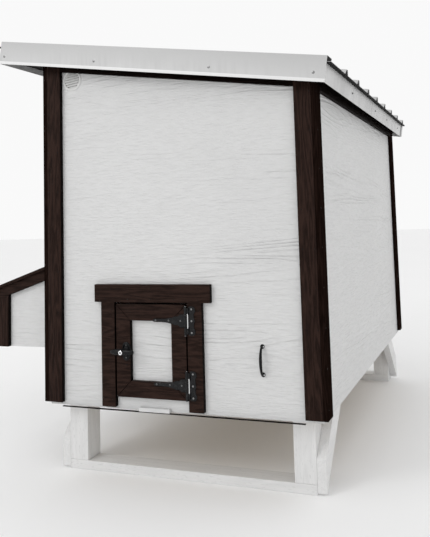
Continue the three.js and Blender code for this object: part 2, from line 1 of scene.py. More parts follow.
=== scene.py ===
"""Chicken coop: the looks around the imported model. Metres, +Z up, in the model's own frame."""
import json
import math

import bmesh
import bpy
from mathutils import Euler, Matrix, Vector


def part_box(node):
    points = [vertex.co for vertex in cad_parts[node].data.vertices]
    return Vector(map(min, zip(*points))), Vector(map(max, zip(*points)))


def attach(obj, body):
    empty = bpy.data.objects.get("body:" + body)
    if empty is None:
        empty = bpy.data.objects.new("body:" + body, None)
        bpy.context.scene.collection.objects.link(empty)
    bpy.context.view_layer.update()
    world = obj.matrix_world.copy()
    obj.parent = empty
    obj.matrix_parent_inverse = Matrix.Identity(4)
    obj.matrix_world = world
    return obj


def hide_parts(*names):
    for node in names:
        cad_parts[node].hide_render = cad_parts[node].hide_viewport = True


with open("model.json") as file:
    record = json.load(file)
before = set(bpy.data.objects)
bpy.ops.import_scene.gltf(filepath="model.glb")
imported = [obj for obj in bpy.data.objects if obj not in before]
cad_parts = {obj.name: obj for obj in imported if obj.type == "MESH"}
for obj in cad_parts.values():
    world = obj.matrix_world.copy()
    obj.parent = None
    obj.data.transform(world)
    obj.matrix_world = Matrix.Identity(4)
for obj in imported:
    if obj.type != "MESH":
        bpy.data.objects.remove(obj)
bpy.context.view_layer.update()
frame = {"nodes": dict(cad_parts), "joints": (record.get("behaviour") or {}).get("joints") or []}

INCH = 0.0254
GAP = 0.0003
TRIM = 0.75 * INCH
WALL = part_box("wall_front")
LOW_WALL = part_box("wall_low_side")
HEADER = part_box("pop_header")
MIDDLE_X = (WALL[0].x + WALL[1].x) / 2
FRONT_Y = HEADER[0].y
JOINTS = {joint["name"]: joint for joint in frame["joints"]}


# ---- Camera ----

EYE = (1.3996, -3.2124, 1.0646)
HEADING, PITCH, ROLL = 18.73, 4.43, -2.06
SENSOR, LENS = 36, 42.06
SHIFT_ACROSS, SHIFT_UP = -0.125, -0.193
FAR_CLIP = 60


def make_camera():
    data = bpy.data.cameras.new("camera")
    data.sensor_width = SENSOR
    data.lens = LENS
    data.shift_x = SHIFT_ACROSS
    data.shift_y = SHIFT_UP
    data.clip_end = FAR_CLIP
    camera = bpy.data.objects.new("camera", data)
    turn = Euler((math.radians(90 + PITCH), 0, math.radians(HEADING))).to_matrix()
    turn = turn @ Matrix.Rotation(math.radians(ROLL), 3, "Z")
    camera.matrix_world = Matrix.Translation(EYE) @ turn.to_4x4()
    bpy.context.scene.collection.objects.link(camera)
    bpy.context.scene.camera = camera


make_camera()


# ---- Stage and light ----

SKY_LEVEL = 0.95
KEY = {"place": (-2.6, -5.2, 4.4), "target": (0, -0.6, 0.9), "size": 2.0, "power": 62}


def area_light(name, place, target, size, power):
    data = bpy.data.lights.new(name, "AREA")
    data.shape = "DISK"
    data.size = size
    data.energy = power
    light = bpy.data.objects.new(name, data)
    light.location = place
    light.rotation_euler = (Vector(target) - Vector(place)).to_track_quat("-Z", "Y").to_euler()
    bpy.context.scene.collection.objects.link(light)


def make_light():
    world = bpy.data.worlds.new("studio")
    world.use_nodes = True
    world.node_tree.nodes["Background"].inputs["Color"].default_value = (1, 1, 1, 1)
    world.node_tree.nodes["Background"].inputs["Strength"].default_value = SKY_LEVEL
    bpy.context.scene.world = world
    area_light("key", **KEY)
    bpy.context.scene.view_settings.view_transform = "Standard"


make_light()


# ---- Materials ----

class Nodes:
    """A material's node tree, with one short call for each kind of node used here."""

    def __init__(self, name, colour, roughness, metallic=0.0, specular=0.5):
        self.material = bpy.data.materials.new(name)
        self.material.use_nodes = True
        self.tree = self.material.node_tree
        self.shader = self.tree.nodes["Principled BSDF"]
        self.shader.inputs["Base Color"].default_value = (*colour, 1)
        self.shader.inputs["Roughness"].default_value = roughness
        self.shader.inputs["Metallic"].default_value = metallic
        self.shader.inputs["Specular IOR Level"].default_value = specular
        self.place = self.tree.nodes.new("ShaderNodeTexCoord").outputs["Object"]

    def link(self, source, target):
        self.tree.links.new(source, target)

    def face_normal(self):
        """The surface's direction in the piece's own axes, split into X, Y and Z."""
        normal = self.tree.nodes.new("ShaderNodeSeparateXYZ")
        self.link(self.tree.nodes.new("ShaderNodeTexCoord").outputs["Normal"], normal.inputs["Vector"])
        return normal.outputs

    def wrap_corners(self):
        """Swaps x and y on faces that look along x, so that level grain runs round a corner."""
        sideways = self.math("GREATER_THAN", self.math("ABSOLUTE", self.face_normal()["X"]), 0.6)
        split = self.tree.nodes.new("ShaderNodeSeparateXYZ")
        self.link(self.place, split.inputs["Vector"])
        swapped = self.tree.nodes.new("ShaderNodeCombineXYZ")
        for source, target in (("Y", "X"), ("X", "Y"), ("Z", "Z")):
            self.link(split.outputs[source], swapped.inputs[target])
        choice = self.tree.nodes.new("ShaderNodeMix")
        choice.data_type = "VECTOR"
        self.link(sideways, choice.inputs["Factor"])
        self.link(self.place, choice.inputs[4])
        self.link(swapped.outputs["Vector"], choice.inputs[5])
        self.place = choice.outputs[1]

    def stretched(self, scale, offset=(0, 0, 0)):
        node = self.tree.nodes.new("ShaderNodeMapping")
        node.inputs["Scale"].default_value = scale
        node.inputs["Location"].default_value = offset
        self.link(self.place, node.inputs["Vector"])
        return node.outputs["Vector"]

    def noise(self, vector, scale=1.0, detail=3.0, roughness=0.5, distortion=0.0):
        node = self.tree.nodes.new("ShaderNodeTexNoise")
        node.inputs["Scale"].default_value = scale
        node.inputs["Detail"].default_value = detail
        node.inputs["Roughness"].default_value = roughness
        node.inputs["Distortion"].default_value = distortion
        self.link(vector, node.inputs["Vector"])
        return node.outputs["Fac"]

    def math(self, operation, first, second=0.0, third=None):
        node = self.tree.nodes.new("ShaderNodeMath")
        node.operation = operation
        for socket, value in zip(node.inputs, (first, second, third)):
            if value is None:
                continue
            if isinstance(value, (int, float)):
                socket.default_value = value
            else:
                self.link(value, socket)
        return node.outputs["Value"]

    def spread(self, value, low, high, new_low=0.0, new_high=1.0):
        node = self.tree.nodes.new("ShaderNodeMapRange")
        limits = {"From Min": low, "From Max": high, "To Min": new_low, "To Max": new_high}
        for name, number in limits.items():
            node.inputs[name].default_value = number
        self.link(value, node.inputs["Value"])
        return node.outputs["Result"]

    def blend(self, factor, first, second):
        """A colour between two colours, each a triple or another node's colour."""
        node = self.tree.nodes.new("ShaderNodeMix")
        node.data_type = "RGBA"
        self.link(factor, node.inputs["Factor"])
        for socket, value in ((node.inputs[6], first), (node.inputs[7], second)):
            if isinstance(value, tuple):
                socket.default_value = (*value, 1)
            else:
                self.link(value, socket)
        return node.outputs[2]

    def bump(self, height, distance, strength=1.0):
        node = self.tree.nodes.new("ShaderNodeBump")
        node.inputs["Distance"].default_value = distance
        node.inputs["Strength"].default_value = strength
        self.link(height, node.inputs["Height"])
        self.link(node.outputs["Normal"], self.shader.inputs["Normal"])

    def colour(self, value):
        self.link(value, self.shader.inputs["Base Color"])

    def gloss(self, value):
        self.link(value, self.shader.inputs["Roughness"])


def shade(colour, factor):
    return tuple(channel * factor for channel in colour)


def across_grain(along, length_scale, cross_scale):
    """Scales for a pattern drawn out along one axis, "x", "y" or "z"."""
    return tuple(length_scale if axis == along else cross_scale for axis in "xyz")


def cathedral(nodes, along, length_scale, cross_scale, rings, offset=(0, 0, 0)):
    """Nested arches of grain: the contour lines of a slow noise drawn out along the board."""
    slow = nodes.noise(nodes.stretched(across_grain(along, length_scale, cross_scale), offset),
                       detail=1.6, roughness=0.42, distortion=0.25)
    wave = nodes.math("SINE", nodes.math("MULTIPLY", slow, rings * 2 * math.pi))
    return nodes.spread(wave, -1, 1)


def fibres(nodes, along, length_scale, cross_scale):
    place = nodes.stretched(across_grain(along, length_scale, cross_scale))
    return nodes.noise(place, detail=4, roughness=0.62)


def painted_siding():
    """White paint over level wood grain pressed into the panel."""
    colour = (0.672, 0.672, 0.67)
    nodes = Nodes("siding", colour, 0.5, specular=0.3)
    nodes.wrap_corners()
    arches = nodes.math("POWER", cathedral(nodes, "x", 0.9, 8.0, 13), 3.5)
    bands = nodes.noise(nodes.stretched(across_grain("x", 0.5, 4.2), (3.1, 1.7, 0.4)), detail=1)
    arches = nodes.math("MULTIPLY", arches, nodes.spread(bands, 0.46, 0.62, 0.1, 1.2))
    streaks = fibres(nodes, "x", 17.0, 130.0)
    height = nodes.math("ADD", nodes.math("MULTIPLY", arches, 0.6), nodes.math("MULTIPLY", streaks, 1.4))
    nodes.bump(height, 0.0036, 1.0)
    cloud = nodes.noise(nodes.place, 1.7, 2)
    base = nodes.blend(nodes.spread(cloud, 0.35, 0.65), shade(colour, 0.975), shade(colour, 1.02))
    # Painted shade: the grain's low streaks are painted a little darker.
    nodes.colour(nodes.blend(nodes.spread(streaks, 0.3, 0.55), shade(colour, 0.94), base))
    nodes.gloss(nodes.spread(streaks, 0.3, 0.7, 0.55, 0.42))
    return nodes.material


def painted_trim(along, tone=1.0, name="trim", sheen=0.035, shaded_edges=False):
    """Dark brown paint on boards with deep pressed grain; the raised grain is painted lighter and its hollows
    darker, as painted highlight and painted shade.

    Where asked, the faces that look sideways or down are painted near black, as painted shade.
    """
    colour = shade((0.0215, 0.0118, 0.0092), tone)
    nodes = Nodes(f"{name}_{along}", colour, 0.5, specular=sheen)
    arches = cathedral(nodes, along, 3.4, 34.0, 6)
    streaks = fibres(nodes, along, 42.0, 260.0)
    height = nodes.math("ADD", nodes.math("MULTIPLY", arches, 0.5), nodes.math("MULTIPLY", streaks, 1.2))
    nodes.bump(height, 0.0022, 0.9)
    # Painted highlight and shade: colour follows the grain's height, lighter where raised, darker in hollows.
    ridge_highlight_mask = nodes.spread(height, 0.5, 1.15)
    finish = nodes.blend(ridge_highlight_mask, shade(colour, 0.6), shade(colour, 1.45))
    # Painted shade: faces that look sideways or down are darkened to near black.
    if shaded_edges:
        normal = nodes.face_normal()
        sideways = nodes.math("GREATER_THAN", nodes.math("ABSOLUTE", normal["X"]), 0.75)
        down = nodes.math("LESS_THAN", normal["Z"], -0.75)
        finish = nodes.blend(nodes.math("MAXIMUM", sideways, down), finish, shade(colour, 0.16))
    nodes.colour(finish)
    nodes.gloss(nodes.spread(streaks, 0.3, 0.7, 0.6, 0.42))
    return nodes.material


def painted_leg(along):
    """White paint brushed on planed timber, with the grain and a few knots telegraphing through."""
    colour = (0.73, 0.728, 0.724)
    nodes = Nodes(f"leg_{along}", colour, 0.5, specular=0.35)
    arches = cathedral(nodes, along, 2.0, 22.0, 5)
    streaks = fibres(nodes, along, 6.0, 260.0)
    height = nodes.math("ADD", nodes.math("MULTIPLY", arches, 0.25), nodes.math("MULTIPLY", streaks, 0.7))
    nodes.bump(height, 0.0006, 0.5)
    # Painted shade and highlight: hollows of the grain a little darker, raised grain a little lighter.
    finish = nodes.blend(nodes.spread(height, 0.2, 0.7), shade(colour, 0.93), shade(colour, 1.02))
    dashes = nodes.noise(nodes.stretched(across_grain(along, 55, 240)), detail=0)
    nodes.colour(nodes.blend(nodes.spread(dashes, 0.69, 0.75), finish, shade(colour, 0.9)))
    nodes.gloss(nodes.spread(streaks, 0.3, 0.7, 0.58, 0.44))
    return nodes.material


def bare_timber(along):
    """Unpainted pine: late wood darker than early wood, with fine fibres."""
    pale, dark = (0.58, 0.5, 0.39), (0.43, 0.34, 0.24)
    nodes = Nodes(f"timber_{along}", pale, 0.65)
    arches = cathedral(nodes, along, 1.6, 20.0, 8)
    streaks = fibres(nodes, along, 7.0, 300.0)
    tone = nodes.math("ADD", nodes.math("MULTIPLY", arches, 0.6), nodes.math("MULTIPLY", streaks, 0.45))
    nodes.colour(nodes.blend(nodes.spread(tone, 0.35, 0.95), pale, dark))
    nodes.bump(tone, 0.0005, 0.4)
    nodes.gloss(nodes.spread(streaks, 0.3, 0.7, 0.72, 0.58))
    return nodes.material


def coated_steel():
    """White coated sheet: nearly smooth, with a faint orange peel and slow waviness."""
    colour = (0.53, 0.53, 0.529)
    nodes = Nodes("roof_steel", colour, 0.34, specular=0.4)
    peel = nodes.noise(nodes.place, 420, 2)
    streak = nodes.noise(nodes.stretched((30, 30, 5)), 1, 3)
    oil_can = nodes.noise(nodes.stretched((1.5, 3.0, 3.0)), 2.2, 1)
    height = nodes.math("ADD", nodes.math("MULTIPLY", peel, 0.02), nodes.math("MULTIPLY", oil_can, 1.0))
    nodes.bump(height, 0.004, 0.25)
    soil = nodes.noise(nodes.place, 4.5, 3, 0.5)
    wash = nodes.math("MULTIPLY", soil, streak)
    nodes.colour(nodes.blend(nodes.spread(wash, 0.16, 0.36), shade(colour, 1.05), shade(colour, 0.9)))
    nodes.gloss(nodes.spread(soil, 0.3, 0.7, 0.3, 0.42))
    return nodes.material


def powder_coat(name="black_iron", specular=0.22):
    """Black powder coat: fine pebbling, worn a little greyer in patches."""
    nodes = Nodes(name, (0.006, 0.006, 0.0065), 0.3, specular=specular)
    pebble = nodes.noise(nodes.place, 900, 2, 0.6)
    rub = nodes.noise(nodes.place, 60, 4, 0.6)
    nodes.bump(pebble, 0.00025, 0.5)
    nodes.colour(nodes.blend(nodes.spread(rub, 0.5, 0.75), (0.005, 0.005, 0.0054), (0.02, 0.0205, 0.021)))
    nodes.gloss(nodes.spread(rub, 0.35, 0.7, 0.28, 0.18))
    return nodes.material


def bright_steel(name="bright_steel", colour=(0.72, 0.72, 0.72), roughness=0.22):
    """Zinc-bright steel with fine turning marks."""
    nodes = Nodes(name, colour, roughness, 1.0)
    marks = nodes.noise(nodes.stretched((900, 900, 120)), 1, 3)
    nodes.bump(marks, 0.00008, 0.4)
    nodes.colour(nodes.blend(nodes.spread(marks, 0.3, 0.7), shade(colour, 0.88), shade(colour, 1.05)))
    nodes.gloss(nodes.spread(marks, 0.3, 0.7, roughness * 0.8, roughness * 1.3))
    return nodes.material


def closure_foam():
    """Black closed-cell foam under the ribs of the roof sheet."""
    nodes = Nodes("closure_foam", (0.02, 0.02, 0.02), 0.85, specular=0.15)
    cells = nodes.noise(nodes.place, 600, 3)
    nodes.bump(cells, 0.0005, 0.7)
    nodes.colour(nodes.blend(cells, (0.006, 0.006, 0.006), (0.03, 0.03, 0.03)))
    nodes.gloss(nodes.spread(cells, 0.3, 0.7, 0.8, 0.95))
    return nodes.material


def moulded_plastic():
    """Matt white plastic with a faint mould texture."""
    colour = (0.66, 0.66, 0.65)
    nodes = Nodes("vent_plastic", colour, 0.5)
    grain = nodes.noise(nodes.place, 700, 2)
    stain = nodes.noise(nodes.place, 30, 3)
    nodes.bump(grain, 0.00015, 0.4)
    nodes.colour(nodes.blend(nodes.spread(stain, 0.35, 0.7), shade(colour, 1.02), shade(colour, 0.95)))
    nodes.gloss(nodes.spread(stain, 0.3, 0.7, 0.44, 0.56))
    return nodes.material


def floor_material():
    nodes = Nodes("studio_floor", (0.9, 0.9, 0.9), 0.85)
    cloud = nodes.noise(nodes.place, 0.6, 2)
    nodes.colour(nodes.blend(cloud, (0.9, 0.9, 0.9), (0.92, 0.92, 0.92)))
    return nodes.material


SIDING = painted_siding()
# The x and z boards carry painted shade on their sideways and downward faces.
BROWN = {axis: painted_trim(axis, shaded_edges=axis != "y") for axis in "xyz"}
# Trim paint darkened to 0.22 as painted shade, for the roof frame, friezes, wall-foot strips and opening
# skins.
SHADED = {axis: painted_trim(axis, 0.22, "shade_painted_trim", 0.02) for axis in "xy"}
# Trim paint darkened to 0.45: painted shade on the corner boards' sideways faces.
SHADE_SIDE_BOARD = {"z": painted_trim("z", 0.45, "side_board_shade", 0.0)}
LEG = {axis: painted_leg(axis) for axis in "xyz"}
PINE = {axis: bare_timber(axis) for axis in "xyz"}
STEEL = coated_steel()
IRON = powder_coat()
CAST = powder_coat("black_casting", 0.15)
BRIGHT = bright_steel()
CHROME = bright_steel("chrome", (0.86, 0.86, 0.87), 0.1)
DULL = bright_steel("dull_screw", (0.13, 0.13, 0.13), 0.35)
SCREW = bright_steel("worn_screw", (0.26, 0.26, 0.26), 0.3)
PLASTIC = moulded_plastic()
FOAM = closure_foam()


# ---- Mesh helpers ----

def link_piece(name, mesh, material, body):
    piece = bpy.data.objects.new(name, mesh)
    bpy.context.scene.collection.objects.link(piece)
    mesh.materials.append(material)
    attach(piece, body)
    return piece


def finish_mesh(bm, name, smooth_angle=None):
    bmesh.ops.recalc_face_normals(bm, faces=bm.faces)
    mesh = bpy.data.meshes.new(name)
    bm.to_mesh(mesh)
    bm.free()
    if smooth_angle is not None:
        mesh.shade_smooth()
        mesh.set_sharp_from_angle(angle=math.radians(smooth_angle))
    return mesh


def outline_solid(points, depth):
    """A closed outline in x and z, given depth along y from 0 to depth."""
    bm = bmesh.new()
    front = [bm.verts.new((x, 0, z)) for x, z in points]
    face = bm.faces.new(front)
    made = bmesh.ops.extrude_face_region(bm, geom=[face])
    moved = [v for v in made["geom"] if isinstance(v, bmesh.types.BMVert)]
    bmesh.ops.translate(bm, verts=moved, vec=(0, depth, 0))
    return bm


def bevel_sharp(bm, width, segments=2, angle=30):
    sharp = [edge for edge in bm.edges if edge.is_manifold and edge.calc_face_angle(0) > math.radians(angle)]
    bmesh.ops.bevel(bm, geom=sharp, offset=width, segments=segments, profile=0.6, affect="EDGES")


def block(lo, hi, bevel=0.0012):
    bm = bmesh.new()
    bmesh.ops.create_cube(bm, size=1)
    size = Vector(hi) - Vector(lo)
    middle = (Vector(hi) + Vector(lo)) / 2
    bmesh.ops.scale(bm, vec=size, verts=bm.verts)
    bmesh.ops.translate(bm, vec=middle, verts=bm.verts)
    bevel_sharp(bm, bevel)
    return bm


def board(name, lo, hi, along, body="coop", finish=None):
    finish = finish or BROWN
    return link_piece(name, finish_mesh(block(lo, hi), name, 40), finish[along], body)


def turned(profile, sides=32):
    """A profile of (radius, height) pairs turned round the z axis and closed at both ends."""
    bm = bmesh.new()
    rings = []
    for radius, height in profile:
        if radius < 1e-7:
            rings.append([bm.verts.new((0, 0, height))])
            continue
        ring = []
        for i in range(sides):
            angle = 2 * math.pi * i / sides
            ring.append(bm.verts.new((radius * math.cos(angle), radius * math.sin(angle), height)))
        rings.append(ring)
    for lower, upper in zip(rings, rings[1:]):
        for i in range(sides):
            j = (i + 1) % sides
            corners = [lower[i % len(lower)], lower[j % len(lower)],
                       upper[j % len(upper)], upper[i % len(upper)]]
            unique = list(dict.fromkeys(corners))
            if len(unique) > 2:
                bm.faces.new(unique)
    return bm


def merge(target, source, matrix=None):
    """Adds a copy of source to target, moved by matrix, and frees source."""
    if matrix is not None:
        bmesh.ops.transform(source, matrix=matrix, verts=source.verts)
    mesh = bpy.data.meshes.new("part")
    source.to_mesh(mesh)
    source.free()
    target.from_mesh(mesh)
    bpy.data.meshes.remove(mesh)


def facing(point, normal):
    """A matrix that puts a thing drawn along +z at point, standing along normal."""
    turn = Vector(normal).to_track_quat("Z", "Y").to_matrix().to_4x4()
    return Matrix.Translation(point) @ turn


def screw_head(radius, height):
    """A domed head with a cross recess sunk in it."""
    bm = turned([(0, -0.0005), (radius, -0.0005), (radius, height * 0.35), (radius * 0.93, height * 0.62),
                 (radius * 0.7, height * 0.88), (radius * 0.36, height * 0.98), (0, height)], 16)
    arm = radius * 0.16
    for turn in (0, math.pi / 2):
        slot = bmesh.new()
        bmesh.ops.create_cube(slot, size=1)
        bmesh.ops.scale(slot, vec=(radius * 1.05, arm, height * 0.12), verts=slot.verts)
        merge(bm, slot, Matrix.Rotation(turn, 4, "Z") @ Matrix.Translation((0, 0, height * 0.95)))
    return bm


def flat_screw(radius):
    """A low screw head with its washer pressed into one."""
    return turned([(0, 0), (radius, 0), (radius * 0.95, radius * 0.1),
                   (radius * 0.6, radius * 0.2), (0, radius * 0.2)], 20)


def washer_screw(radius):
    """A roofing screw: a dished washer under a hexagon head."""
    bm = turned([(0, 0), (radius, 0), (radius, radius * 0.12),
                 (radius * 0.72, radius * 0.3), (0, radius * 0.3)], 20)
    head = turned([(0, radius * 0.3), (radius * 0.55, radius * 0.3), (radius * 0.55, radius * 0.78),
                   (radius * 0.42, radius * 0.9), (0, radius * 0.9)], 6)
    merge(bm, head)
    return bm


def nail_head(radius):
    foot, rim, crown = -0.0004, 0.0003, 0.0006
    return turned([(0, foot), (radius, foot), (radius, rim), (radius * 0.6, crown), (0, crown)], 12)


def fastener_set(name, make, spots, material, body):
    """One piece holding the same fastener at each (point, normal) of spots."""
    bm = bmesh.new()
    for point, normal in spots:
        merge(bm, make(), facing(point, normal))
    return link_piece(name, finish_mesh(bm, name, 35), material, body)


# ---- Finishes on the model's own nodes ----

def dress(names, material, bevel=0.0):
    for name in names:
        node = frame["nodes"][name]
        node.data.materials.clear()
        node.data.materials.append(material)
        weld = node.modifiers.new("weld", "WELD")
        weld.merge_threshold = 0.00001
        if bevel:
            edges = node.modifiers.new("edges", "BEVEL")
            edges.width = bevel
            edges.segments = 2
            edges.limit_method = "ANGLE"
            edges.angle_limit = math.radians(40)
            edges.harden_normals = False


CORNERS = [(end, side) for end in ("front", "rear") for side in ("low", "tall")]

dress(["wall_front", "wall_back", "wall_low_side", "wall_tall_side"], SIDING)
dress(["nest_box", "pop_door_panel", "access_door_panel"], SIDING)
dress([f"post_{end}_{side}" for end, side in CORNERS], LEG["z"], 0.002)
dress(["skid_front", "skid_rear"], LEG["x"], 0.002)
dress([f"brace_{end}_{side}" for end, side in CORNERS], LEG["y"], 0.002)
dress([f"stud_{end}_{side}" for end, side in CORNERS], PINE["z"], 0.0015)
dress(["floor_frame", "roost_bar"], PINE["x"], 0.0015)
# The roof frame takes dark trim paint darkened further as painted shade under the roof.
dress(["roof_frame"], SHADED["x"], 0.0015)
dress(["floor_deck", "roof_deck", "nest_dividers"], PINE["y"])
dress(["pop_header"], BROWN["x"], 0.0014)
dress(["pop_jamb_latch", "pop_jamb_hinge"], BROWN["x"], 0.0014)
dress(["access_surround"], BROWN["y"], 0.0014)
dress(["nest_lid"], BROWN["y"], 0.0012)
dress(["roof_panel", "eave_trim_low", "eave_trim_high"], STEEL)


# ---- Corner boards: two separate boards nailed into an L ----

def corner_boards(end, side):
    lo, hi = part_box(f"corner_trim_{end}_{side}")
    outward = 1 if side == "low" else -1
    outer = hi.x if outward > 0 else lo.x
    seam = outer - outward * TRIM
    inner = lo.x if outward > 0 else hi.x
    face_y = (lo.y, lo.y + TRIM - GAP) if end == "front" else (hi.y - TRIM + GAP, hi.y)
    face_x = sorted((inner, seam - outward * GAP))
    side_x = sorted((seam + outward * GAP, outer))
    face = board(f"corner_face_{end}_{side}", (face_x[0], face_y[0], lo.z), (face_x[1], face_y[1], hi.z), "z")
    # The side board takes the darker tone, painted shade on its sideways face.
    board(f"corner_side_{end}_{side}", (side_x[0], lo.y, lo.z), (side_x[1], hi.y, hi.z), "z",
          finish=SHADE_SIDE_BOARD)
    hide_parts(f"corner_trim_{end}_{side}")


for end, side in CORNERS:
    corner_boards(end, side)


# ---- Nest box ends: a board under the lid's slope above a corner board ----

LID_SLOPE = 0.33


def nest_boards(end):
    lo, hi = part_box(f"nest_trim_{end}")
    edge, corner = 1.83 * INCH, lo.x + 2.5 * INCH
    y0, thick = lo.y, hi.y - lo.y

    def top(x):
        return hi.z - (hi.x - x) * LID_SLOPE

    for name, x0, x1, low_edge, high_edge in (
            ("slope", lo.x, hi.x, lambda x: top(x) - edge + GAP, top),
            ("corner", lo.x, corner, lambda x: lo.z, lambda x: top(x) - edge - GAP)):
        bm = outline_solid([(x0, low_edge(x0)), (x1, low_edge(x1)),
                            (x1, high_edge(x1)), (x0, high_edge(x0))], thick)
        bmesh.ops.translate(bm, vec=(0, y0, 0), verts=bm.verts)
        bevel_sharp(bm, 0.0013)
        grain = BROWN["x"] if name == "slope" else BROWN["z"]
        link_piece(f"nest_{name}_board_{end}", finish_mesh(bm, f"nest_{name}_{end}", 40), grain,
                               "coop")
    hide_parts(f"nest_trim_{end}")


for end in ("front", "rear"):
    nest_boards(end)


# ---- Frieze boards under the roof, in the trim paint darkened as painted shade ----

SLOPE = (WALL[1].z - LOW_WALL[1].z) / (WALL[1].x - WALL[0].x)
FRIEZE = 1.5 * INCH


def underside(x):
    """Height of the roof frame's underside, at x."""
    return WALL[1].z - (x - WALL[0].x) * SLOPE


def end_frieze(name, y0, x0, x1):
    points = [(x0, underside(x0) - FRIEZE), (x1, underside(x1) - FRIEZE),
              (x1, underside(x1) - GAP), (x0, underside(x0) - GAP)]
    bm = outline_solid(points, TRIM - 2 * GAP)
    bmesh.ops.translate(bm, vec=(0, y0 + GAP, 0), verts=bm.verts)
    bevel_sharp(bm, 0.001)
    link_piece(name, finish_mesh(bm, name, 40), SHADED["x"], "coop")


def friezes():
    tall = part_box("corner_trim_front_tall")
    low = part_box("corner_trim_front_low")
    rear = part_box("corner_trim_rear_low")
    end_frieze("frieze_front", FRONT_Y, tall[1].x + GAP, low[0].x - GAP)
    end_frieze("frieze_rear", rear[1].y - TRIM, tall[1].x + GAP, low[0].x - GAP)
    top = underside(low[1].x) - 2 * GAP
    board("frieze_low_side", (low[1].x - TRIM + GAP, low[1].y + GAP, top - FRIEZE),
          (low[1].x, rear[0].y - GAP, top), "y", finish=SHADED)
    top = underside(WALL[0].x) - 2 * GAP
    board("frieze_tall_side", (tall[0].x, tall[1].y + GAP, top - FRIEZE),
          (tall[0].x + TRIM - GAP, rear[0].y - GAP, top), "y", finish=SHADED)


friezes()


# ---- Dark strip under the end walls, in the trim paint darkened as painted shade ----

def dark_foot_strip(end):
    lo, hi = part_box("wall_front" if end == "front" else "wall_back")
    tall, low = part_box(f"corner_trim_{end}_tall")[1].x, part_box(f"corner_trim_{end}_low")[0].x
    y0, y1 = (lo.y + 0.001, lo.y + 0.010) if end == "front" else (hi.y - 0.010, hi.y - 0.001)
    board(f"sill_{end}", (tall + GAP, y0, lo.z - 0.004), (low - GAP, y1, lo.z - GAP), "x", finish=SHADED)


for end in ("front", "rear"):
    dark_foot_strip(end)


# ---- Doors: drawn round the hinge axis, then placed by it ----

FACE = 0.25 * INCH
DOORS = {
    "pop": {"axes": ((1, 0, 0), (0, 1, 0), (0, 0, 1)), "hinge": "pop_door_hinge", "latch": "pop_latch_turn"},
    "access": {"axes": ((0, 1, 0), (1, 0, 0), (0, 0, -1)), "hinge": "access_door_hinge",
               "latch": "access_latch_turn"},
}


def door_matrix(door, joint):
    """Places a thing drawn with x along the boards, y into the wall and z up the door."""
    turn = Matrix([Vector(axis) for axis in DOORS[door]["axes"]]).transposed().to_4x4()
    return Matrix.Translation(JOINTS[DOORS[door][joint]]["pos_m"]) @ turn


def place_piece(bm, name, matrix, material, body, smooth=35):
    bmesh.ops.transform(bm, matrix=matrix, verts=bm.verts)
    return link_piece(name, finish_mesh(bm, name, smooth), material, body)


STRAP_HALF = ((0.25, 1.0), (1.06, 0.985), (1.14, 0.92), (1.2, 0.84), (1.34, 0.76), (1.42, 0.69), (2.1, 0.645),
              (2.2, 0.6), (2.3, 0.53), (2.42, 0.49), (2.95, 0.43), (3.1, 0.4), (3.3, 0.34), (3.5, 0.31),
              (4.3, 0.245), (4.8, 0.25), (5.3, 0.27), (5.6, 0.26), (5.8, 0.2), (5.92, 0.1), (5.95, 0.0))
LEAF_HALF = ((0.42, 0.0), (0.42, 2.05), (0.48, 2.17), (0.62, 2.26), (0.85, 2.28), (1.2, 2.26), (1.42, 2.16),
             (1.57, 1.98), (1.62, 1.7), (1.6, 1.45), (1.52, 1.3), (1.43, 1.2), (1.38, 1.0), (1.38, 0.6),
             (1.43, 0.35), (1.5, 0.2), (1.52, 0.0))


def mirrored_outline(half, x_sign):
    """A closed outline from its upper half, in inches, mirrored below the centre line."""
    upper = [(x_sign * x * INCH, z * INCH) for x, z in half]
    lower = [(x, -z) for x, z in reversed(upper) if z > 1e-6]
    return upper + lower


def plate(points, thickness):
    bm = outline_solid(points, thickness)
    bevel_sharp(bm, 0.0006, 2, 60)
    bmesh.ops.translate(bm, vec=(0, FACE - GAP - thickness, 0), verts=bm.verts)
    return bm


def knuckle(z0, z1, radius=0.22 * INCH):
    """A rolled knuckle round the pin, its edges eased."""
    ease = 0.0006
    return turned([(0.0031, z0), (radius - ease, z0), (radius, z0 + ease), (radius, z1 - ease),
                   (radius - ease, z1), (0.0031, z1), (0.0031, z0)], 24)


def neck(x0, x1, z0, z1):
    """The strip of plate that rises from the surface into a knuckle."""
    return block((min(x0, x1), -0.0005, z0), (max(x0, x1), FACE - GAP, z1), 0.0004)


